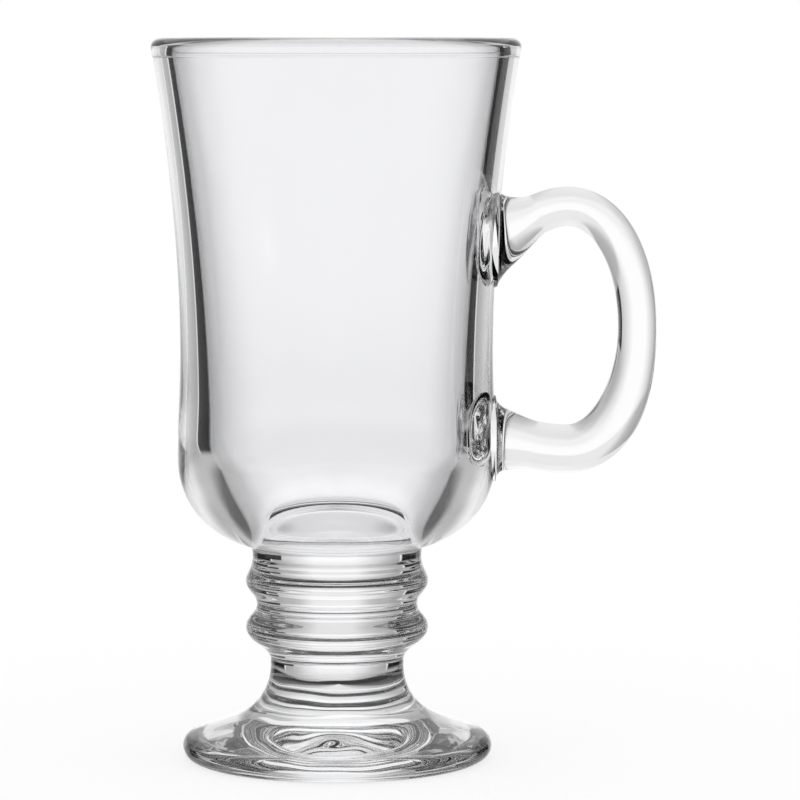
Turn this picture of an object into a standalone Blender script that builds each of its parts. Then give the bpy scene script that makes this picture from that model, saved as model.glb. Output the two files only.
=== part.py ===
"""Footed glass mug with a looped handle, in metres, +Z up.

The mug is made of four gathers of clear glass that are joined hot: a pressed bowl, a
looped handle, a stem with two ring beads and a spread foot with a hollow underside.
Each gather is a body of its own, and a narrow seam stands for the weld between two of
them. The origin is the middle of the mug's footprint at table level, and the handle
points along +X.
"""

from math import cos, pi, radians, sin, sqrt

import bmesh
import bpy
from mathutils import Vector
from mathutils.geometry import interpolate_bezier

# Weld seam between neighbouring pieces
SEAM = 0.0003

# Foot: a rounded disc that sweeps up into a narrow neck
FOOT_RADIUS = 0.0321
FOOT_EDGE_RISE = 0.0027
FOOT_EDGE_ROUND = 0.0025
FOOT_SLOPE = radians(21)
NECK_RADIUS = 0.0138
NECK_FILLET = 0.0116
RESTING_RING_WIDTH = 0.003
KICK_RISE = 0.0035

# Stem: a straight neck below two ring beads, and a collar that meets the bowl
STEM_TALL = 0.02245
NECK_STRAIGHT = 0.0007
BEAD_RADIUS = 0.0189
LOWER_BEAD_RISE = 0.0077
BEAD_PITCH = 0.0097
GROOVE_RADIUS = 0.01665
COLLAR_RADIUS = 0.0175

# Bowl, outside: a rounded base, a full heel, a slim waist and a flared rim
BOWL_TALL = 0.10655
BASE_ROUND = 0.0182
BASE_SWEEP = radians(75)
HEEL_RADIUS = 0.03286
HEEL_RISE = 0.0199
WAIST_RADIUS = 0.03227
WAIST_RISE = 0.0429
RIM_RADIUS = 0.038
RIM_FLARE = 0.16
LIP_TALL = 0.0039
LIP_PROUD = 0.0004

# Bowl, inside: the plunger's smooth taper and its rounded end
LIP_WALL = 0.0042
CAVITY_RADIUS = 0.0265
CAVITY_CORNER = 0.004
FLOOR_THICK = 0.018

# Handle: a flattened ring held to the wall by two flared arms
HANDLE_REACH = 0.0659
LOOP_START = 0.0475
LOOP_RISE = 0.047
LOOP_HALF_TALL = 0.0250
LOOP_SQUARENESS = 2.1
UPPER_ROOT_RISE = 0.0655
LOWER_ROOT_RISE = 0.0245
UPPER_ROOT_PITCH = 0.3
LOWER_ROOT_PITCH = -0.1
CREST_THICK = 0.0083
GRIP_THICK = 0.0079
TROUGH_THICK = 0.01
UPPER_ROOT_TALL = 0.0181
LOWER_ROOT_TALL = 0.0142
FLARE_LENGTH = 0.008
FLARE_POWER = 1.5
GRIP_DEPTH = 0.0118
ROOT_DEPTH = 0.0138
GRIP_SQUARENESS = 2.4
ROOT_SUNK = 0.0025

# Facets
TURN_STEPS = 48
GRIP_SIDES = 20
LOOP_STEPS = 22
DOME_STEPS = 6
MERGE = 1e-6

# Glass
GLASS_COLOUR = (0.93, 0.94, 0.95, 1.0)
GLASS_ROUGHNESS = 0.02
GLASS_IOR = 1.52


def at(radius, height):
    """A point of a turned profile, drawn in the XZ plane."""
    return Vector((radius, 0.0, height))


def arc(centre, size, start, end, steps):
    """Points on a circle, or on an ellipse where size holds two half axes."""
    wide, tall = size if isinstance(size, tuple) else (size, size)
    angles = [start + (end - start) * i / steps for i in range(steps + 1)]
    return [centre + at(wide * cos(a), tall * sin(a)) for a in angles]


def sweep(start, start_pull, end, end_pull, steps):
    """A cubic curve that leaves start along start_pull and arrives at end along end_pull."""
    return interpolate_bezier(start, start + start_pull, end - end_pull, end, steps + 1)


def swell(start, end, steps, start_lead=0.45, end_lead=0.45):
    """An upright S-curve between two radii, upright at both ends."""
    rise = at(0.0, end.z - start.z)
    return sweep(start, rise * start_lead, end, rise * end_lead, steps)


def joined(*runs):
    """One profile from runs of points, without the points that two runs share."""
    points = []
    for point in (p for run in runs for p in run):
        if not points or (point - points[-1]).length > MERGE:
            points.append(point)
    return points


def glass(name):
    """Clear pressed soda-lime glass with a fire-polished surface."""
    material = bpy.data.materials.new(name)
    material.use_nodes = True
    shader = material.node_tree.nodes["Principled BSDF"]
    shader.inputs["Base Color"].default_value = GLASS_COLOUR
    shader.inputs["Metallic"].default_value = 0.0
    shader.inputs["Roughness"].default_value = GLASS_ROUGHNESS
    shader.inputs["IOR"].default_value = GLASS_IOR
    shader.inputs["Transmission Weight"].default_value = 1.0
    return material


def piece(name, bm, parent, rise=0.0):
    """A smooth-shaded object from a bmesh, set on its parent at a height."""
    mesh = bpy.data.meshes.new(name)
    bm.to_mesh(mesh)
    bm.free()
    mesh.shade_smooth()
    mesh.set_sharp_from_angle(angle=radians(35))
    obj = bpy.data.objects.new(name, mesh)
    obj.data.materials.append(glass(name + "_glass"))
    obj.parent = parent
    obj.location.z = rise
    bpy.context.collection.objects.link(obj)
    return obj


def turned(profile):
    """A closed body of revolution about Z, from a profile with both ends on the axis."""
    bm = bmesh.new()
    verts = [bm.verts.new(point) for point in profile]
    edges = [bm.edges.new(pair) for pair in zip(verts, verts[1:])]
    bmesh.ops.spin(
        bm,
        geom=verts + edges,
        cent=(0.0, 0.0, 0.0),
        axis=(0.0, 0.0, 1.0),
        angle=2 * pi,
        steps=TURN_STEPS,
        use_merge=True,
    )
    bmesh.ops.remove_doubles(bm, verts=bm.verts, dist=MERGE)
    bmesh.ops.recalc_face_normals(bm, faces=bm.faces)
    return bm


def foot_slope_top():
    """The point where the foot's rounded edge runs into its straight slope."""
    edge_centre = at(FOOT_RADIUS - FOOT_EDGE_ROUND, FOOT_EDGE_RISE)
    return edge_centre + at(sin(FOOT_SLOPE), cos(FOOT_SLOPE)) * FOOT_EDGE_ROUND


def foot_tall():
    """Height of the neck's weld, where the neck fillet stands upright."""
    slope_top = foot_slope_top()
    inward = NECK_RADIUS + NECK_FILLET - slope_top.x
    return slope_top.z + (NECK_FILLET - inward * sin(FOOT_SLOPE)) / cos(FOOT_SLOPE)


def foot_profile():
    """Neck weld, fillet, slope, rounded edge, resting ring and hollow underside."""
    tall = foot_tall()
    slope_angle = pi / 2 - FOOT_SLOPE
    fillet = arc(at(NECK_RADIUS + NECK_FILLET, tall), NECK_FILLET, pi, pi + slope_angle, 7)
    edge_centre = at(FOOT_RADIUS - FOOT_EDGE_ROUND, FOOT_EDGE_RISE)
    edge = arc(edge_centre, FOOT_EDGE_ROUND, slope_angle, 0.0, 5)
    heel_centre = at(FOOT_RADIUS - FOOT_EDGE_RISE, FOOT_EDGE_RISE)
    heel = arc(heel_centre, FOOT_EDGE_RISE, 0.0, -pi / 2, 4)
    ring_inside = heel_centre.x - RESTING_RING_WIDTH
    dome_radius = (ring_inside**2 + KICK_RISE**2) / (2 * KICK_RISE)
    shares = [1 - i / DOME_STEPS for i in range(DOME_STEPS + 1)]
    dome = [at(ring_inside * s, dome_height(ring_inside * s, dome_radius)) for s in shares]
    return joined([at(0.0, tall)], fillet, edge, heel, dome)


def dome_height(radius, dome_radius):
    """Height of the hollow under the foot, a shallow part of a ball."""
    return KICK_RISE - dome_radius + sqrt(dome_radius**2 - radius**2)


def stem_profile():
    """From the bowl's weld down over both beads to the neck's weld."""
    upper_bead = at(BEAD_RADIUS, LOWER_BEAD_RISE + BEAD_PITCH)
    groove = at(GROOVE_RADIUS, LOWER_BEAD_RISE + BEAD_PITCH / 2)
    lower_bead = at(BEAD_RADIUS, LOWER_BEAD_RISE)
    collar = at(COLLAR_RADIUS, STEM_TALL)
    neck = at(NECK_RADIUS, NECK_STRAIGHT)
    return joined(
        [at(0.0, STEM_TALL)],
        swell(collar, upper_bead, 5, start_lead=0.5, end_lead=0.3),
        swell(upper_bead, groove, 5),
        swell(groove, lower_bead, 5),
        swell(lower_bead, neck, 7),
        [at(NECK_RADIUS, 0.0), at(0.0, 0.0)],
    )


def bowl_outside():
    """The outer wall from the lip's widest line down to the weld on the stem."""
    lip_centre = at(RIM_RADIUS - LIP_WALL / 2, BOWL_TALL - LIP_TALL / 2)
    lip_side = lip_centre + at(LIP_WALL / 2, 0.0)
    under_lip = at(RIM_RADIUS - LIP_PROUD, BOWL_TALL - LIP_TALL)
    waist = at(WAIST_RADIUS, WAIST_RISE)
    heel = at(HEEL_RADIUS, HEEL_RISE)
    flank = (under_lip.z - waist.z) / 3
    flare = at(-RIM_FLARE, -1.0)
    base_centre = heel - at(BASE_ROUND, 0.0)
    base = arc(base_centre, BASE_ROUND, 0.0, -BASE_SWEEP, 7)
    inward = at(-sin(BASE_SWEEP), -cos(BASE_SWEEP))
    fillet = (base[-1].x - COLLAR_RADIUS) / 2
    return joined(
        sweep(lip_side, at(0.0, -LIP_TALL / 4), under_lip, flare * LIP_TALL / 8, 3),
        sweep(under_lip, flare * flank, waist, at(0.0, -flank), 8),
        swell(waist, heel, 4),
        base,
        sweep(base[-1], inward * fillet, at(COLLAR_RADIUS, 0.0), at(0.0, -fillet), 3),
    )


def bowl_inside():
    """The cavity from its floor's middle up to the lip's inner line."""
    lip_side = at(RIM_RADIUS - LIP_WALL, BOWL_TALL - LIP_TALL / 2)
    corner_centre = at(CAVITY_RADIUS - CAVITY_CORNER, FLOOR_THICK + CAVITY_CORNER)
    corner = arc(corner_centre, CAVITY_CORNER, -pi / 2, 0.0, 6)
    flank = (lip_side.z - corner[-1].z) / 3
    wall = sweep(corner[-1], at(0.0, flank), lip_side, at(RIM_FLARE, 1.0) * flank, 8)
    return joined([at(0.0, FLOOR_THICK)], corner, wall)


def bowl_profile():
    """Cavity, round lip, outer wall and the disc that is welded to the stem."""
    lip_centre = at(RIM_RADIUS - LIP_WALL / 2, BOWL_TALL - LIP_TALL / 2)
    lip = arc(lip_centre, (LIP_WALL / 2, LIP_TALL / 2), pi, 0.0, 8)
    return joined(bowl_inside(), lip, bowl_outside(), [at(0.0, 0.0)])


def wall_cutter_profile():
    """The bowl's outer body, grown by the weld seam and filled, up to the lip."""
    wall = [at(point.x + SEAM, point.z) for point in bowl_outside()]
    return joined([at(0.0, wall[0].z)], wall, [at(0.0, wall[-1].z)])


def wall_radius(height):
    """Radius of the bowl's outer wall at a height above the stem's weld."""
    wall = bowl_outside()
    for above, below in zip(wall, wall[1:]):
        if above.z >= height >= below.z and above.z > below.z:
            share = (height - below.z) / (above.z - below.z)
            return below.x + (above.x - below.x) * share
    raise ValueError("the bowl has no wall at that height")


def loop_point(angle):
    """A point of the handle's flattened ring, at an angle from its outermost point."""
    power = 2 / LOOP_SQUARENESS
    out = HANDLE_REACH - GRIP_THICK / 2 - LOOP_START
    rise = abs(sin(angle)) ** power * (1 if angle > 0 else -1)
    return at(LOOP_START + out * cos(angle) ** power, LOOP_RISE + LOOP_HALF_TALL * rise)


def handle_route():
    """The handle's centre line from inside the wall at the top to inside it at the bottom."""
    upper_root = at(wall_radius(UPPER_ROOT_RISE) - ROOT_SUNK, UPPER_ROOT_RISE)
    lower_root = at(wall_radius(LOWER_ROOT_RISE) - ROOT_SUNK, LOWER_ROOT_RISE)
    crest = at(LOOP_START, LOOP_RISE + LOOP_HALF_TALL)
    trough = at(LOOP_START, LOOP_RISE - LOOP_HALF_TALL)
    upper_pull = (crest.x - upper_root.x) / 3
    lower_pull = (trough.x - lower_root.x) / 3
    loop = [loop_point(pi / 2 - pi * i / LOOP_STEPS) for i in range(1, LOOP_STEPS)]
    return joined(
        sweep(upper_root, at(1.0, UPPER_ROOT_PITCH) * upper_pull, crest, at(upper_pull, 0.0), 9),
        loop,
        sweep(trough, at(-lower_pull, 0.0), lower_root, at(-1.0, -LOWER_ROOT_PITCH) * lower_pull, 9),
    )


def root_flare(point):
    """How far a handle section has opened towards its root: 1 at the wall, 0 on the loop."""
    clear = point.x - wall_radius(point.z)
    return min(max(1 - clear / FLARE_LENGTH, 0.0), 1.0) ** FLARE_POWER


def handle_section(point):
    """Thickness in the handle's plane and depth across it, at a point of its route."""
    upper = point.z > LOOP_RISE
    arm_thick = CREST_THICK if upper else TROUGH_THICK
    root_tall = UPPER_ROOT_TALL if upper else LOWER_ROOT_TALL
    from_grip = min(abs(point.z - LOOP_RISE) / LOOP_HALF_TALL, 1.0)
    ease = from_grip**2 * (3 - 2 * from_grip)
    thick = GRIP_THICK + (arm_thick - GRIP_THICK) * ease
    flare = root_flare(point)
    thick += (root_tall - thick) * flare
    depth = GRIP_DEPTH + (ROOT_DEPTH - GRIP_DEPTH) * flare
    return thick, depth


def handle_ring(bm, point, along):
    """One closed loop of edges round the route, flat-sided front and back."""
    thick, depth = handle_section(point)
    square_on = Vector((along.z, 0.0, -along.x))
    upright = Vector((0.0, 0.0, -along.x))
    across = square_on.lerp(upright, root_flare(point)).normalized()
    power = 2 / GRIP_SQUARENESS
    verts = []
    for i in range(GRIP_SIDES):
        angle = 2 * pi * i / GRIP_SIDES
        u = abs(cos(angle)) ** power * (1 if cos(angle) > 0 else -1)
        v = abs(sin(angle)) ** power * (1 if sin(angle) > 0 else -1)
        side = Vector((0.0, depth / 2 * v, 0.0))
        verts.append(bm.verts.new(point + across * (thick / 2 * u) + side))
    return [bm.edges.new((verts[i - 1], verts[i])) for i in range(GRIP_SIDES)]


def handle_body():
    """The lofted handle, with both ends run into the wall for the cutter to trim."""
    route = handle_route()
    bm = bmesh.new()
    rings = []
    for i, point in enumerate(route):
        before = route[max(i - 1, 0)]
        after = route[min(i + 1, len(route) - 1)]
        rings.append(handle_ring(bm, point, (after - before).normalized()))
    for ring, following in zip(rings, rings[1:]):
        bmesh.ops.bridge_loops(bm, edges=ring + following)
    bmesh.ops.edgeloop_fill(bm, edges=rings[0])
    bmesh.ops.edgeloop_fill(bm, edges=rings[-1])
    bmesh.ops.recalc_face_normals(bm, faces=bm.faces)
    return bm


def cut(target, cutter):
    """Trim a piece with a hidden body."""
    cutter.hide_render = True
    cutter.display_type = "WIRE"
    trim = target.modifiers.new("trim_to_wall", "BOOLEAN")
    trim.operation = "DIFFERENCE"
    trim.solver = "EXACT"
    trim.object = cutter


def build():
    """Set the four pieces on the mug's axis, foot first."""
    for obj in list(bpy.data.objects):
        bpy.data.objects.remove(obj)
    axis = bpy.data.objects.new("mug_axis", None)
    axis.location.x = (RIM_RADIUS - HANDLE_REACH) / 2
    bpy.context.collection.objects.link(axis)
    stem_base = foot_tall() + SEAM
    bowl_base = stem_base + STEM_TALL + SEAM
    piece("foot", turned(foot_profile()), axis)
    piece("stem", turned(stem_profile()), axis, stem_base)
    bowl = piece("bowl", turned(bowl_profile()), axis, bowl_base)
    handle = piece("handle", handle_body(), bowl)
    cut(handle, piece("wall_cutter", turned(wall_cutter_profile()), bowl))


build()
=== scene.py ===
"""Looks of a footed glass mug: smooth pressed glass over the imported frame, on a white set."""

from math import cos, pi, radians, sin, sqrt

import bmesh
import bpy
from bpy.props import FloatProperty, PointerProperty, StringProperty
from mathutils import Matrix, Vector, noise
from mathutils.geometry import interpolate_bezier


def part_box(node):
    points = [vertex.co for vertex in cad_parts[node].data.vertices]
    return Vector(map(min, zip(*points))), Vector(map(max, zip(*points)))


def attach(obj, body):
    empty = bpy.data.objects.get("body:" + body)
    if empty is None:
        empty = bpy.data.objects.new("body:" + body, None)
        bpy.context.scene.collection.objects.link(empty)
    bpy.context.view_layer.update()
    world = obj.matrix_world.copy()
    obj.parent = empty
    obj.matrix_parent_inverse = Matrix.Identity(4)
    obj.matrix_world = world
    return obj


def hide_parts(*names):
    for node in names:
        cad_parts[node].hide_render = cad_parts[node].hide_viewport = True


bl_info = {
    "name": "Footed Glass Mug",
    "version": (1, 0, 0),
    "blender": (4, 5, 0),
    "location": "View3D > Sidebar > Glass Mug",
    "description": "Dresses a clear pressed-glass mug with a beaded stem and a looped handle",
    "category": "Object",
}

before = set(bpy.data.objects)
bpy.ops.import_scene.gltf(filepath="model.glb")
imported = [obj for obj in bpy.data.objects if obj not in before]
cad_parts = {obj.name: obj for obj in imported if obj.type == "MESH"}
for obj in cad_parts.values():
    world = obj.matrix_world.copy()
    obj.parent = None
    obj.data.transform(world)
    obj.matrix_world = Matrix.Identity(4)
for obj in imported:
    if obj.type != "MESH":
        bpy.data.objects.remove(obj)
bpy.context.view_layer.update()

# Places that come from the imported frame
FOOT_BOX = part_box("foot")
STEM_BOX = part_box("stem")
BOWL_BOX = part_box("bowl")
HANDLE_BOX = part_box("handle")
AXIS_X = (BOWL_BOX[0].x + BOWL_BOX[1].x) / 2
SEAM = STEM_BOX[0].z - FOOT_BOX[1].z
HALF_SEAM = SEAM / 2
STEM_BASE = STEM_BOX[0].z
BOWL_BASE = BOWL_BOX[0].z
BODY = "root"

# Radii that two pieces share at their weld
NECK_RADIUS = 0.0138
COLLAR_RADIUS = 0.0175

# How finely the glass is drawn: each step of an arc or a curve is drawn as FINE edges
TURN_STEPS = 192
FINE = 6
GRIP_SIDES = 56
LOOP_STEPS = 96
ARM_STEPS = 16
DOME_STEPS = 40
MERGE = 1e-7
SHARP_ANGLE = radians(40)

# A curve's pull at an end is its span divided by this
PULL_SPAN = 3
# How far the handle's seats lie inside the bowl's wall
SEAT_SUNK = 0.00003
# Share of a wave's pitch over which waves fade out towards still glass
WAVE_FADE = 0.25
# Place of the weld in a piece's list of materials, after the glass
WELD_INDEX = 1

# The set: mesh of the tent, bounces of light in the glass, white light and degrees in half a turn
TENT_SEGMENTS = 48
TENT_RINGS = 24
GLASS_BOUNCES = 40
GLOSSY_BOUNCES = 16
WHITE = "FFFFFF"
HALF_TURN = 180

# Brightness of the tent by degrees away from its middle: on the near and the far table, on the
# lower and the upper lit wall with their black sides, on the grey wall above, on the bright edge
# over that and overhead
NEAR_TABLE_LIGHT = (
    (0, 0.85),
    (10, 0.82),
    (18, 0.6),
    (28, 0.46),
    (38, 0.38),
    (44, 0.14),
    (100, 0.04),
    (180, 0.03),
)
TABLE_LIGHT = (
    (0, 0.85),
    (10, 0.82),
    (18, 0.64),
    (28, 0.52),
    (56, 0.48),
    (66, 0.25),
    (100, 0.25),
    (140, 0.03),
    (180, 0.03),
)
LOW_WALL_LIGHT = (
    (0, 0.98),
    (9, 0.98),
    (18, 0.8),
    (24, 0.6),
    (30, 0.48),
    (36, 0.4),
    (37.5, 0.42),
    (38.2, 0.9),
    (39, 0.9),
    (40, 0.008),
    (100, 0.008),
    (180, 0.03),
)
WALL_LIGHT = (
    (0, 1.1),
    (9, 1.1),
    (14, 0.98),
    (20, 0.82),
    (26, 0.68),
    (31, 0.52),
    (37, 0.45),
    (38, 0.9),
    (39, 0.9),
    (40, 0.008),
    (100, 0.008),
    (180, 0.03),
)
SHELF_LIGHT = (
    (0, 0.92),
    (10, 0.9),
    (17, 0.6),
    (22, 0.5),
    (28, 0.48),
    (35, 0.38),
    (45, 0.5),
    (60, 0.45),
    (66, 0.06),
    (180, 0.03),
)
EDGE_LIGHT = (
    (0, 0.95),
    (60, 0.9),
    (80, 0.4),
    (180, 0.03),
)
SKY_LIGHT = (
    (0, 1.1),
    (90, 0.95),
    (180, 0.3),
)


def length(name, default, description):
    """A length that a user may change, in metres."""
    return FloatProperty(
        name=name, description=description, default=default, unit="LENGTH", precision=5
    )


def angle(name, default, description):
    """An angle that a user may change."""
    return FloatProperty(name=name, description=description, default=default, subtype="ANGLE")


def share(name, default, description):
    """A plain number that a user may change."""
    return FloatProperty(name=name, description=description, default=default, precision=4)


def hex_colour(name, default, description):
    """An sRGB colour written as six hex digits."""
    return StringProperty(name=name, description=description, default=default)


class FootSizes(bpy.types.PropertyGroup):
    """Sizes of the spread foot."""

    radius: length("Radius", FOOT_BOX[1].y, "Widest radius of the foot")
    edge_rise: length("Edge rise", 0.0027, "Height of the widest line above the table")
    edge_round: length("Edge round", 0.0025, "Rounding above the widest line")
    slope: angle("Slope", radians(21), "Slope of the foot's top")
    neck_radius: length("Neck radius", NECK_RADIUS, "Radius of the neck on the foot")
    neck_fillet: length("Neck fillet", 0.0116, "Hollow rounding from the slope into the neck")
    ring_width: length("Ring width", 0.003, "Width of the ring that rests on the table")
    kick_rise: length("Kick rise", 0.0035, "Height of the hollow under the foot")
    wave_depth: length("Wave depth", 0.00012, "Depth of the slow waves that the mould leaves")
    wave_pitch: length("Wave pitch", 0.007, "Size of one wave")


class StemSizes(bpy.types.PropertyGroup):
    """Sizes of the beaded stem."""

    tall: length("Height", STEM_BOX[1].z - STEM_BOX[0].z, "Height between both welds")
    neck_radius: length("Neck radius", NECK_RADIUS, "Radius of the straight neck")
    neck_straight: length("Neck straight", 0.0007, "Straight stretch above the lower weld")
    bead_radius: length("Bead radius", STEM_BOX[1].y, "Widest radius of both ring beads")
    lower_bead_rise: length("Lower bead rise", 0.0077, "Height of the lower bead")
    bead_pitch: length("Bead pitch", 0.0097, "Distance between both beads")
    groove_radius: length("Groove radius", 0.01665, "Radius of the groove between the beads")
    collar_radius: length("Collar radius", COLLAR_RADIUS, "Radius at the bowl's weld")


class BowlSizes(bpy.types.PropertyGroup):
    """Sizes of the pressed bowl."""

    tall: length("Height", BOWL_BOX[1].z - BOWL_BOX[0].z, "Height from the weld to the rim")
    base_round: length("Base round", 0.0182, "Rounding of the bowl's base")
    base_sweep: angle("Base sweep", radians(80), "How far the base rounding turns inwards")
    heel_radius: length("Heel radius", 0.03286, "Widest radius low on the bowl")
    heel_rise: length("Heel rise", 0.0199, "Height of the heel")
    waist_radius: length("Waist radius", 0.03227, "Slimmest radius of the wall")
    waist_rise: length("Waist rise", 0.0429, "Height of the waist")
    rim_radius: length("Rim radius", BOWL_BOX[1].y, "Radius of the rim")
    rim_flare: share("Rim flare", 0.16, "Slope of the wall under the rim")
    lip_tall: length("Lip height", 0.0039, "Height of the round lip")
    lip_proud: length("Lip proud", 0.0004, "How far the lip stands out from the wall")
    lip_wall: length("Lip wall", 0.0042, "Thickness of the lip")
    collar_radius: length("Collar radius", COLLAR_RADIUS, "Radius at the stem's weld")
    cavity_radius: length("Cavity radius", 0.0265, "Inner radius above the rounded floor")
    corner_wide: length("Corner width", 0.0244, "Width of the floor's rounding")
    corner_tall: length("Corner height", 0.0225, "Height of the floor's rounding")
    floor_thick: length("Floor thickness", 0.0018, "Glass between the cavity and the stem's weld")


class HandleSizes(bpy.types.PropertyGroup):
    """Sizes of the looped handle."""

    reach: length("Reach", HANDLE_BOX[1].x - AXIS_X, "Outermost radius of the handle")
    loop_start: length("Loop start", 0.0475, "Radius of the loop's crest and trough")
    loop_rise: length("Loop rise", 0.047, "Height of the loop's middle")
    loop_half_tall: length("Loop half height", 0.025, "Half height of the loop's centre line")
    loop_squareness: share("Loop squareness", 2.1, "How square the loop is, 2 being round")
    upper_root_rise: length("Upper root rise", 0.0655, "Height of the upper root")
    lower_root_rise: length("Lower root rise", 0.0245, "Height of the lower root")
    upper_root_pitch: share("Upper root pitch", 0.3, "Slope at which the upper arm leaves")
    lower_root_pitch: share("Lower root pitch", -0.1, "Slope at which the lower arm leaves")
    crest_thick: length("Crest thickness", 0.0083, "Thickness of the upper arm")
    grip_thick: length("Grip thickness", 0.0079, "Thickness of the upright grip")
    trough_thick: length("Trough thickness", 0.01, "Thickness of the lower arm")
    upper_root_tall: length("Upper root height", 0.0181, "Height of the upper root on the wall")
    lower_root_tall: length("Lower root height", 0.0142, "Height of the lower root on the wall")
    flare_length: length("Flare length", 0.008, "How far the roots flare out from the wall")
    flare_power: share("Flare power", 1.5, "How steeply the roots flare")
    grip_depth: length("Grip depth", 0.0118, "Front-to-back size of the grip")
    root_depth: length("Root depth", 0.0138, "Front-to-back size of the roots")
    grip_squareness: share("Grip squareness", 2.4, "How square the section is, 2 being round")
    root_sunk: length("Root sunk", 0.0025, "How far the roots run into the wall")
    root_fillet: length("Root fillet", 0.0018, "Rounding where the hot roots have run onto the wall")


class GlassLooks(bpy.types.PropertyGroup):
    """Finish of the glass."""

    tint: hex_colour("Tint", "FCFCFD", "Faint tint of thick soda-lime glass")
    ior: share("IOR", 1.52, "Refraction of soda-lime glass")
    roughness: share("Roughness", 0.0, "Roughness of the fire-polished surface")


class StageSettings(bpy.types.PropertyGroup):
    """Camera and set."""

    camera_out: length("Camera distance", 0.8244, "Distance from the mug's axis")
    camera_right: length("Camera right", 0.01306, "Offset to the right of the mug's axis")
    camera_rise: length("Camera height", 0.1513, "Height above the table")
    camera_pitch: angle("Camera pitch", radians(5.32), "How far the camera looks down")
    camera_lens: FloatProperty(name="Lens", description="Focal length", default=180.4, unit="CAMERA")
    floor_size: length("Floor size", 12.0, "Side of the pale floor")
    floor_colour: hex_colour("Floor", "F6F6F6", "Pale floor")
    floor_glow: share("Floor glow", 1.03, "Brightness of the glow that only the camera sees")
    glow_part: share("Glow part", 0.75, "Share of that glow in what the camera sees of the floor")
    tent_radius: length("Tent radius", 4.0, "Radius of the light tent that the glass sees")
    near_table_top: angle("Near table top", radians(-24), "Where the table's near half ends")
    table_top: angle("Table top", radians(-14), "Where the tent's table ends, from the view line")
    low_wall_top: angle("Low wall top", radians(-3), "Where the dimmer lower wall ends")
    wall_top: angle("Wall top", radians(7.5), "Where the tent's lit wall ends")
    shelf_top: angle("Shelf top", radians(25), "Where the tent's grey upper wall ends")
    edge_top: angle("Edge top", radians(43), "Where the bright edge over the grey wall ends")
    soft_blend: angle("Soft blend", radians(4), "Half of a soft change between two heights")
    zone_blend: angle("Zone blend", radians(1.5), "Half of a sharper change round the grey wall")
    card_start: angle("Card start", radians(29), "Inner side of the black card on the right")
    card_end: angle("Card end", radians(46), "Outer side of the black card on the right")
    card_low: angle("Card low", radians(-3.6), "Lower edge of the black card on the right")
    card_blend: angle("Card blend", radians(0.5), "Half of the soft change at that card's sides")
    card_level: share("Card level", 0.03, "Brightness of that card")


def linear(colour):
    """Linear RGBA of an sRGB colour given as six hex digits."""
    shares = [int(colour[i : i + 2], 16) / 255 for i in (0, 2, 4)]
    return [s / 12.92 if s <= 0.04045 else ((s + 0.055) / 1.055) ** 2.4 for s in shares] + [1.0]


def node(tree, kind, inputs=None, **settings):
    """Add a node with its settings, and set or link its inputs."""
    made = tree.nodes.new(kind)
    for name, value in settings.items():
        setattr(made, name, value)
    for socket, value in (inputs or {}).items():
        if isinstance(value, bpy.types.NodeSocket):
            tree.links.new(value, made.inputs[socket])
        else:
            made.inputs[socket].default_value = value
    return made


def empty_material(name):
    """A material with no nodes but its output."""
    material = bpy.data.materials.new(name)
    material.use_nodes = True
    material.node_tree.nodes.clear()
    return material, material.node_tree


def clear_glass():
    """Pressed soda-lime glass, fire-polished: clear, with a faint cool tint in its thickness."""
    name = "pressed_soda_lime_glass"
    if name in bpy.data.materials:
        return bpy.data.materials[name]
    looks = bpy.context.scene.mug_glass
    material, tree = empty_material(name)
    shader = node(
        tree,
        "ShaderNodeBsdfPrincipled",
        {
            "Base Color": linear(looks.tint),
            "Roughness": looks.roughness,
            "IOR": looks.ior,
            "Transmission Weight": 1.0,
        },
    )
    node(tree, "ShaderNodeOutputMaterial", {"Surface": shader.outputs[0]})
    return material


def hot_weld():
    """Where two gathers of glass have run together, nothing of the joint shows."""
    name = "hot_glass_weld"
    if name in bpy.data.materials:
        return bpy.data.materials[name]
    material, tree = empty_material(name)
    shader = node(tree, "ShaderNodeBsdfTransparent")
    node(tree, "ShaderNodeOutputMaterial", {"Surface": shader.outputs[0]})
    return material


def at(radius, height):
    """A point of a turned profile, drawn in the XZ plane."""
    return Vector((radius, 0.0, height))


def arc(centre, size, start, end, steps):
    """Points on a circle, or on an ellipse where size holds two half axes."""
    wide, tall = size if isinstance(size, tuple) else (size, size)
    count = steps * FINE
    angles = [start + (end - start) * i / count for i in range(count + 1)]
    return [centre + at(wide * cos(a), tall * sin(a)) for a in angles]


def sweep(start, start_pull, end, end_pull, steps):
    """A cubic curve that leaves start along start_pull and arrives at end along end_pull."""
    handles = (start, start + start_pull, end - end_pull, end)
    return interpolate_bezier(*handles, steps * FINE + 1)


def straight(start, end, steps):
    """A straight run of points."""
    pull = (end - start) / PULL_SPAN
    return sweep(start, pull, end, pull, steps)


def swell(start, end, steps, start_lead=0.45, end_lead=0.45):
    """An upright S-curve between two radii, upright at both ends."""
    rise = at(0.0, end.z - start.z)
    return sweep(start, rise * start_lead, end, rise * end_lead, steps)


def joined(*runs):
    """One profile from runs of points, without the points that two runs share."""
    points = []
    for point in (p for run in runs for p in run):
        if not points or (point - points[-1]).length > MERGE:
            points.append(point)
    return points


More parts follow.
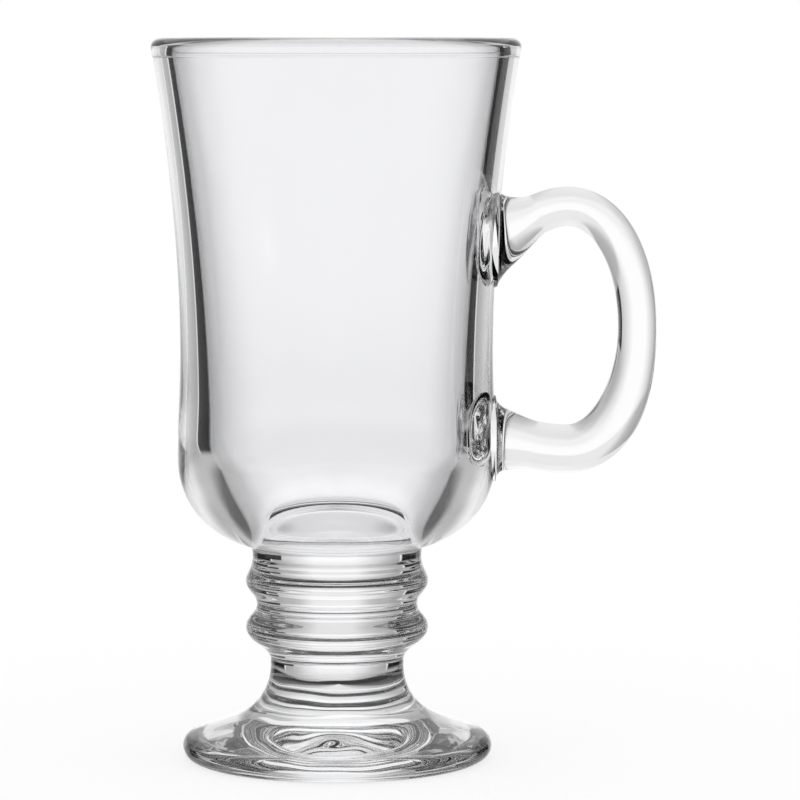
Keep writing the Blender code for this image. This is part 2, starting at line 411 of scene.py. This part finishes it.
def turned(profile, base, welds=()):
    """A closed body of revolution about the mug's axis, with its flat welds marked."""
    bm = bmesh.new()
    place = Vector((AXIS_X, 0.0, base))
    verts = [bm.verts.new(place + point) for point in profile]
    edges = [bm.edges.new(pair) for pair in zip(verts, verts[1:])]
    bmesh.ops.spin(
        bm,
        geom=verts + edges,
        cent=place,
        axis=(0.0, 0.0, 1.0),
        angle=2 * pi,
        steps=TURN_STEPS,
        use_merge=True,
    )
    bmesh.ops.remove_doubles(bm, verts=bm.verts, dist=MERGE)
    bmesh.ops.recalc_face_normals(bm, faces=bm.faces)
    for face in bm.faces:
        for weld in welds:
            if all(abs(v.co.z - base - weld) < MERGE for v in face.verts):
                face.material_index = WELD_INDEX
    return bm


def ripple(bm, depth, pitch, still):
    """Slow waves, as the glass set them, that leave the glass at the still heights true."""
    bm.normal_update()
    for vert in bm.verts:
        clear = min(abs(vert.co.z - height) for height in still)
        wave = noise.noise(vert.co / pitch) * min(clear / (pitch * WAVE_FADE), 1.0)
        vert.co += vert.normal * depth * wave


def as_mesh(name, bm, *materials):
    """A mesh from a bmesh, which is freed, with its materials."""
    mesh = bpy.data.meshes.new(name)
    bm.to_mesh(mesh)
    bm.free()
    for material in materials:
        mesh.materials.append(material)
    return mesh


def placed(name, data):
    """A new object at the origin."""
    obj = bpy.data.objects.new(name, data)
    bpy.context.scene.collection.objects.link(obj)
    return obj


def smoothed(obj):
    """Shade smooth, with the welds' rims kept sharp."""
    obj.data.shade_smooth()
    obj.data.set_sharp_from_angle(angle=SHARP_ANGLE)


def shown(name, bm):
    """A piece of the mug from a bmesh, shaded smooth, in glass with weld faces."""
    obj = placed(name, as_mesh(name, bm, clear_glass(), hot_weld()))
    smoothed(obj)
    return obj


def dressed(obj, cad_node):
    """Let a piece stand for its solid in the frame."""
    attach(obj, BODY)
    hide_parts(cad_node)


def foot_profile(s):
    """Neck weld, fillet, slope, rounded edge, resting ring and hollow underside."""
    tall = FOOT_BOX[1].z
    slope_angle = pi / 2 - s.slope
    fillet_centre = at(s.neck_radius + s.neck_fillet, tall)
    fillet = arc(fillet_centre, s.neck_fillet, pi, pi + slope_angle, steps=7)
    edge_centre = at(s.radius - s.edge_round, s.edge_rise)
    edge = arc(edge_centre, s.edge_round, slope_angle, 0.0, steps=5)
    slope = straight(fillet[-1], edge[0], steps=2)
    heel_centre = at(s.radius - s.edge_rise, s.edge_rise)
    heel = arc(heel_centre, s.edge_rise, 0.0, -pi / 2, steps=4)
    ring_inside = heel_centre.x - s.ring_width
    dome_radius = (ring_inside**2 + s.kick_rise**2) / (2 * s.kick_rise)
    dome = []
    for i in range(DOME_STEPS + 1):
        radius = ring_inside * (1 - i / DOME_STEPS)
        dome.append(at(radius, s.kick_rise - dome_radius + sqrt(dome_radius**2 - radius**2)))
    weld = tall + HALF_SEAM
    return joined([at(0.0, weld), at(s.neck_radius, weld)], fillet, slope, edge, heel, dome)


def stem_profile(s):
    """From the bowl's weld down over both beads to the neck's weld."""
    upper_bead = at(s.bead_radius, s.lower_bead_rise + s.bead_pitch)
    groove = at(s.groove_radius, s.lower_bead_rise + s.bead_pitch / 2)
    lower_bead = at(s.bead_radius, s.lower_bead_rise)
    collar = at(s.collar_radius, s.tall)
    neck = at(s.neck_radius, s.neck_straight)
    top = s.tall + HALF_SEAM
    return joined(
        [at(0.0, top), at(s.collar_radius, top)],
        swell(collar, upper_bead, steps=5, start_lead=0.5, end_lead=0.3),
        swell(upper_bead, groove, steps=5),
        swell(groove, lower_bead, steps=5),
        swell(lower_bead, neck, steps=7),
        [at(s.neck_radius, -HALF_SEAM), at(0.0, -HALF_SEAM)],
    )


def bowl_outside(s):
    """The outer wall from the lip's widest line down to the weld on the stem."""
    lip_inside = at(s.rim_radius - s.lip_proud, s.tall - s.lip_tall / 2)
    under_lip = lip_inside - at(0.0, s.lip_tall / 2)
    waist = at(s.waist_radius, s.waist_rise)
    heel = at(s.heel_radius, s.heel_rise)
    flank = (under_lip.z - waist.z) / PULL_SPAN
    flare = at(-s.rim_flare, -1.0)
    base_centre = heel - at(s.base_round, 0.0)
    base = arc(base_centre, s.base_round, 0.0, -s.base_sweep, steps=7)
    inward = at(-sin(s.base_sweep), -cos(s.base_sweep))
    collar = at(s.collar_radius, 0.0)
    fillet = (base[-1].x - collar.x) / 2
    return joined(
        arc(lip_inside, (s.lip_proud, s.lip_tall / 2), 0.0, -pi / 2, steps=3),
        sweep(under_lip, flare * flank, waist, at(0.0, -flank), steps=8),
        swell(waist, heel, steps=4),
        base,
        sweep(base[-1], inward * fillet, collar, at(0.0, -fillet), steps=3),
    )


def bowl_inside(s):
    """The cavity from its floor's middle up to the lip's inner line."""
    lip_side = at(s.rim_radius - s.lip_wall, s.tall - s.lip_tall / 2)
    corner_centre = at(s.cavity_radius - s.corner_wide, s.floor_thick + s.corner_tall)
    corner = arc(corner_centre, (s.corner_wide, s.corner_tall), -pi / 2, 0.0, steps=6)
    floor = straight(at(0.0, s.floor_thick), corner[0], steps=2)
    flank = (lip_side.z - corner[-1].z) / PULL_SPAN
    flare = at(s.rim_flare, 1.0)
    wall = sweep(corner[-1], at(0.0, flank), lip_side, flare * flank, steps=8)
    return joined(floor, corner, wall)


def bowl_profile(s):
    """Cavity, round lip, outer wall and the disc that is welded to the stem."""
    lip_centre = at(s.rim_radius - s.lip_wall / 2, s.tall - s.lip_tall / 2)
    lip = arc(lip_centre, (s.lip_wall / 2, s.lip_tall / 2), pi, 0.0, steps=8)
    weld = [at(s.collar_radius, -HALF_SEAM), at(0.0, -HALF_SEAM)]
    return joined(bowl_inside(s), lip, bowl_outside(s), weld)


def wall_cutter_profile(s):
    """The bowl's outer body up to the lip, filled, and a hair inside its true wall."""
    wall = [at(point.x - SEAT_SUNK, point.z) for point in bowl_outside(s)]
    return joined([at(0.0, wall[0].z)], wall, [at(0.0, wall[-1].z)])


class Wall:
    """The bowl's outer wall, to ask its radius at a height above the stem's weld."""

    def __init__(self, sizes):
        self.points = bowl_outside(sizes)

    def radius(self, height):
        """Radius of the wall at a height."""
        for above, below in zip(self.points, self.points[1:]):
            if above.z >= height >= below.z and above.z > below.z:
                part = (height - below.z) / (above.z - below.z)
                return below.x + (above.x - below.x) * part
        raise ValueError("the bowl has no wall at that height")


def signed_power(value, power):
    """A power of a number's size, with the number's sign."""
    return abs(value) ** power * (1 if value > 0 else -1)


def loop_point(s, turn):
    """A point of the handle's flattened ring, at an angle from its outermost point."""
    power = 2 / s.loop_squareness
    out = s.reach - s.grip_thick / 2 - s.loop_start
    rise = signed_power(sin(turn), power)
    return at(s.loop_start + out * cos(turn) ** power, s.loop_rise + s.loop_half_tall * rise)


def handle_route(s, wall):
    """The handle's centre line from inside the wall at the top to inside it at the bottom."""
    upper_root = at(wall.radius(s.upper_root_rise) - s.root_sunk, s.upper_root_rise)
    lower_root = at(wall.radius(s.lower_root_rise) - s.root_sunk, s.lower_root_rise)
    crest = at(s.loop_start, s.loop_rise + s.loop_half_tall)
    trough = at(s.loop_start, s.loop_rise - s.loop_half_tall)
    upper_pull = (crest.x - upper_root.x) / PULL_SPAN
    lower_pull = (trough.x - lower_root.x) / PULL_SPAN
    upper_lead = at(1.0, s.upper_root_pitch) * upper_pull
    lower_lead = at(-1.0, -s.lower_root_pitch) * lower_pull
    loop = [loop_point(s, pi / 2 - pi * i / LOOP_STEPS) for i in range(1, LOOP_STEPS)]
    return joined(
        sweep(upper_root, upper_lead, crest, at(upper_pull, 0.0), ARM_STEPS),
        loop,
        sweep(trough, at(-lower_pull, 0.0), lower_root, lower_lead, ARM_STEPS),
    )


def nearness(clear, reach):
    """1 at the wall and inside it, falling to 0 at a reach away from it."""
    return min(max(1 - clear / reach, 0.0), 1.0)


def soft_share(part):
    """A share from 0 to 1 that starts and stops softly."""
    return part**2 * (3 - 2 * part)


def handle_section(s, point, flare, clear):
    """Thickness in the handle's plane and depth across it, at a point of its route."""
    upper = point.z > s.loop_rise
    arm_thick = s.crest_thick if upper else s.trough_thick
    root_tall = s.upper_root_tall if upper else s.lower_root_tall
    from_grip = min(abs(point.z - s.loop_rise) / s.loop_half_tall, 1.0)
    thick = s.grip_thick + (arm_thick - s.grip_thick) * soft_share(from_grip)
    thick += (root_tall - thick) * flare
    depth = s.grip_depth + (s.root_depth - s.grip_depth) * flare
    run = nearness(clear, s.root_fillet)
    fillet = s.root_fillet * (1 - sqrt(1 - run**2))
    return thick + 2 * fillet, depth + 2 * fillet


def handle_ring(bm, s, wall, point, along):
    """One closed loop of edges round the route, flat-sided front and back."""
    clear = point.x - wall.radius(point.z)
    flare = nearness(clear, s.flare_length) ** s.flare_power
    thick, depth = handle_section(s, point, flare, clear)
    square_on = Vector((along.z, 0.0, -along.x))
    upright = Vector((0.0, 0.0, -along.x))
    across = square_on.lerp(upright, flare).normalized()
    power = 2 / s.grip_squareness
    place = Vector((AXIS_X, 0.0, BOWL_BASE)) + point
    verts = []
    for i in range(GRIP_SIDES):
        turn = 2 * pi * i / GRIP_SIDES
        out = across * (thick / 2 * signed_power(cos(turn), power))
        side = Vector((0.0, depth / 2 * signed_power(sin(turn), power), 0.0))
        verts.append(bm.verts.new(place + out + side))
    return [bm.edges.new((verts[i - 1], verts[i])) for i in range(GRIP_SIDES)]


def handle_body(s, wall):
    """The lofted handle, with both ends run into the wall for the cutter to trim."""
    route = handle_route(s, wall)
    bm = bmesh.new()
    rings = []
    for i, point in enumerate(route):
        before = route[max(i - 1, 0)]
        after = route[min(i + 1, len(route) - 1)]
        rings.append(handle_ring(bm, s, wall, point, (after - before).normalized()))
    for ring, following in zip(rings, rings[1:]):
        bmesh.ops.bridge_loops(bm, edges=ring + following)
    bmesh.ops.edgeloop_fill(bm, edges=rings[0])
    bmesh.ops.edgeloop_fill(bm, edges=rings[-1])
    bmesh.ops.recalc_face_normals(bm, faces=bm.faces)
    return bm


def trim(target, cutter):
    """Cut a body away from a piece; the cut takes the cutter's material."""
    cut = target.modifiers.new("trim", "BOOLEAN")
    cut.operation = "DIFFERENCE"
    cut.solver = "EXACT"
    cut.material_mode = "TRANSFER"
    cut.object = cutter
    layers = bpy.context.evaluated_depsgraph_get()
    mesh = bpy.data.meshes.new_from_object(target.evaluated_get(layers))
    target.modifiers.clear()
    target.data = mesh
    bpy.data.objects.remove(cutter)
    smoothed(target)


def weld_body(name, mesh):
    """A body whose cuts are weld faces."""
    mesh.materials.clear()
    mesh.materials.append(hot_weld())
    for face in mesh.polygons:
        face.material_index = 0
    return placed(name, mesh)


def place_camera(s):
    """A long lens in front of the mug, a little above its rim."""
    data = bpy.data.cameras.new("camera")
    data.lens = s.camera_lens
    camera = placed("camera", data)
    camera.location = (AXIS_X + s.camera_right, -s.camera_out, s.camera_rise)
    camera.rotation_euler = (pi / 2 - s.camera_pitch, 0.0, 0.0)
    bpy.context.scene.camera = camera
    return camera


def white_world():
    """Even white light from all sides."""
    world = bpy.data.worlds.new("white_studio")
    bpy.context.scene.world = world
    world.use_nodes = True
    world.node_tree.nodes["Background"].inputs["Color"].default_value = linear(WHITE)
    world.node_tree.nodes["Background"].inputs["Strength"].default_value = 1.0


def white_paper(s):
    """Matt white paper, with a glow for the camera alone that brings it up to white."""
    material, tree = empty_material("matt_white_paper")
    path = node(tree, "ShaderNodeLightPath")
    paint = node(tree, "ShaderNodeBsdfDiffuse", {"Color": linear(s.floor_colour)})
    glow = node(tree, "ShaderNodeEmission", {"Color": linear(WHITE), "Strength": s.floor_glow})
    part = node(
        tree,
        "ShaderNodeMath",
        {0: path.outputs["Is Camera Ray"], 1: s.glow_part},
        operation="MULTIPLY",
    )
    mixed = node(
        tree,
        "ShaderNodeMixShader",
        {0: part.outputs[0], 1: paint.outputs[0], 2: glow.outputs[0]},
    )
    node(tree, "ShaderNodeOutputMaterial", {"Surface": mixed.outputs[0]})
    return material


def pale_floor(s):
    """A floor that the camera sees as white, with the mug's soft shadow; glass does not see it."""
    bm = bmesh.new()
    bmesh.ops.create_grid(bm, x_segments=1, y_segments=1, size=s.floor_size / 2)
    floor = placed("pale_floor", as_mesh("pale_floor", bm, white_paper(s)))
    floor.visible_transmission = False
    floor.visible_glossy = False


def by_angle(tree, part_turn, stops):
    """Brightness from stops in degrees away from the tent's middle."""
    ramp = node(tree, "ShaderNodeValToRGB", {0: part_turn})
    elements = ramp.color_ramp.elements
    elements.remove(elements[1])
    for degrees, level in stops:
        place = degrees / HALF_TURN
        stop = elements.new(place) if degrees else elements[0]
        stop.position = place
        stop.color = (level, level, level, 1.0)
    return ramp.outputs[0]


def between(tree, value, start, end, soft):
    """1 between two angles and 0 outside them, with soft edges."""
    sides = []
    for low, high in ((start - soft, start + soft), (end + soft, end - soft)):
        limits = {"Value": value, "From Min": low, "From Max": high}
        side = node(tree, "ShaderNodeMapRange", limits, interpolation_type="SMOOTHSTEP")
        sides.append(side.outputs[0])
    return node(tree, "ShaderNodeMath", dict(enumerate(sides)), operation="MULTIPLY").outputs[0]


def tent_light(tree, s):
    """Brightness of the tent: table, lit wall with a black card, grey upper wall, edge and sky."""
    place = node(tree, "ShaderNodeTexCoord")
    way = node(tree, "ShaderNodeVectorMath", {0: place.outputs["Object"]}, operation="NORMALIZE")
    right, up, back = node(tree, "ShaderNodeSeparateXYZ", {0: way.outputs[0]}).outputs
    ahead = node(tree, "ShaderNodeMath", {0: back, 1: -1.0}, operation="MULTIPLY").outputs[0]
    around = node(tree, "ShaderNodeMath", {0: right, 1: ahead}, operation="ARCTAN2").outputs[0]
    aside = node(tree, "ShaderNodeMath", {0: around}, operation="ABSOLUTE").outputs[0]
    part_turn = node(tree, "ShaderNodeMath", {0: aside, 1: pi}, operation="DIVIDE").outputs[0]
    rise = node(tree, "ShaderNodeMath", {0: up}, operation="ARCSINE").outputs[0]
    light = by_angle(tree, part_turn, NEAR_TABLE_LIGHT)
    zones = (
        (s.near_table_top, s.soft_blend, TABLE_LIGHT),
        (s.table_top, s.soft_blend, LOW_WALL_LIGHT),
        (s.low_wall_top, s.soft_blend, WALL_LIGHT),
        (s.wall_top, s.zone_blend, SHELF_LIGHT),
        (s.shelf_top, s.zone_blend, EDGE_LIGHT),
        (s.edge_top, s.soft_blend, SKY_LIGHT),
    )
    for top, half, stops in zones:
        limits = {"Value": rise, "From Min": top - half, "From Max": top + half}
        above = node(tree, "ShaderNodeMapRange", limits, interpolation_type="SMOOTHSTEP")
        shares = {"Factor": above.outputs[0], "A": light, "B": by_angle(tree, part_turn, stops)}
        light = node(tree, "ShaderNodeMix", shares).outputs["Result"]
    across = between(tree, around, s.card_start, s.card_end, s.card_blend)
    upright = between(tree, rise, s.card_low, s.wall_top, s.card_blend)
    card = node(tree, "ShaderNodeMath", {0: across, 1: upright}, operation="MULTIPLY")
    shares = {"Factor": card.outputs[0], "A": light, "B": s.card_level}
    return node(tree, "ShaderNodeMix", shares).outputs["Result"]


def tent_cloth(s):
    """Tent cloth lit from behind: it only glows, brighter and darker from place to place."""
    material, tree = empty_material("backlit_tent_cloth")
    glow = node(tree, "ShaderNodeEmission", {"Color": tent_light(tree, s), "Strength": 1.0})
    node(tree, "ShaderNodeOutputMaterial", {"Surface": glow.outputs[0]})
    material.cycles.emission_sampling = "NONE"
    return material


def light_tent(s, camera):
    """A tent that only glass sees: a lit wall behind the mug and dark sides, carried by the camera."""
    bm = bmesh.new()
    segments = {"u_segments": TENT_SEGMENTS, "v_segments": TENT_RINGS}
    bmesh.ops.create_uvsphere(bm, radius=s.tent_radius, **segments)
    tent = placed("light_tent", as_mesh("light_tent", bm, tent_cloth(s)))
    tent.parent = camera
    tent.location.z = -s.camera_out
    tent.visible_camera = False
    tent.visible_diffuse = False
    tent.visible_shadow = False


class MUG_OT_foot(bpy.types.Operator):
    """Make the spread foot with its hollow underside"""

    bl_idname = "mug.foot"
    bl_label = "Foot"

    def execute(self, context):
        sizes = context.scene.mug_foot
        weld = FOOT_BOX[1].z + HALF_SEAM
        foot = turned(foot_profile(sizes), 0.0, [weld])
        ripple(foot, sizes.wave_depth, sizes.wave_pitch, (0.0, weld))
        dressed(shown("spread_foot", foot), "foot")
        return {"FINISHED"}


class MUG_OT_stem(bpy.types.Operator):
    """Make the stem with its two ring beads"""

    bl_idname = "mug.stem"
    bl_label = "Stem"

    def execute(self, context):
        sizes = context.scene.mug_stem
        welds = [sizes.tall + HALF_SEAM, -HALF_SEAM]
        dressed(shown("beaded_stem", turned(stem_profile(sizes), STEM_BASE, welds)), "stem")
        return {"FINISHED"}


class MUG_OT_bowl(bpy.types.Operator):
    """Make the thick-walled bowl with its flared rim"""

    bl_idname = "mug.bowl"
    bl_label = "Bowl"

    def execute(self, context):
        profile = bowl_profile(context.scene.mug_bowl)
        dressed(shown("flared_bowl", turned(profile, BOWL_BASE, [-HALF_SEAM])), "bowl")
        return {"FINISHED"}


class MUG_OT_handle(bpy.types.Operator):
    """Make the looped handle and weld its roots to the bowl"""

    bl_idname = "mug.handle"
    bl_label = "Handle"

    def execute(self, context):
        bowl_sizes = context.scene.mug_bowl
        wall = Wall(bowl_sizes)
        handle = shown("looped_handle", handle_body(context.scene.mug_handle, wall))
        wall_body = as_mesh("wall_body", turned(wall_cutter_profile(bowl_sizes), BOWL_BASE))
        trim(handle, weld_body("wall_body", wall_body))
        trim(bpy.data.objects["flared_bowl"], weld_body("root_body", handle.data.copy()))
        dressed(handle, "handle")
        return {"FINISHED"}


class MUG_OT_stage(bpy.types.Operator):
    """Set the camera, the white floor and the light tent"""

    bl_idname = "mug.stage"
    bl_label = "Stage"

    def execute(self, context):
        settings = context.scene.mug_stage
        camera = place_camera(settings)
        white_world()
        pale_floor(settings)
        light_tent(settings, camera)
        context.scene.view_settings.view_transform = "Standard"
        cycles = context.scene.cycles
        cycles.max_bounces = GLASS_BOUNCES
        cycles.transmission_bounces = GLASS_BOUNCES
        cycles.glossy_bounces = GLOSSY_BOUNCES
        cycles.transparent_max_bounces = GLASS_BOUNCES
        return {"FINISHED"}


class MUG_PT_sidebar(bpy.types.Panel):
    """Buttons that make the mug's pieces"""

    bl_idname = "MUG_PT_sidebar"
    bl_label = "Glass Mug"
    bl_space_type = "VIEW_3D"
    bl_region_type = "UI"
    bl_category = "Glass Mug"

    def draw(self, context):
        for operator in OPERATORS:
            self.layout.operator(operator.bl_idname)


GROUPS = {
    "mug_foot": FootSizes,
    "mug_stem": StemSizes,
    "mug_bowl": BowlSizes,
    "mug_handle": HandleSizes,
    "mug_glass": GlassLooks,
    "mug_stage": StageSettings,
}
OPERATORS = (MUG_OT_foot, MUG_OT_stem, MUG_OT_bowl, MUG_OT_handle, MUG_OT_stage)
CLASSES = (*GROUPS.values(), *OPERATORS, MUG_PT_sidebar)


def register():
    """Add the classes, and one group of settings for each piece to the scene."""
    for cls in CLASSES:
        bpy.utils.register_class(cls)
    for name, group in GROUPS.items():
        setattr(bpy.types.Scene, name, PointerProperty(type=group))


def unregister():
    """Take the settings and the classes away again."""
    for name in GROUPS:
        delattr(bpy.types.Scene, name)
    for cls in reversed(CLASSES):
        bpy.utils.unregister_class(cls)


def main():
    """Dress the frame piece by piece."""
    register()
    bpy.ops.mug.foot()
    bpy.ops.mug.stem()
    bpy.ops.mug.bowl()
    bpy.ops.mug.handle()
    bpy.ops.mug.stage()


if __name__ == "__main__":
    main()
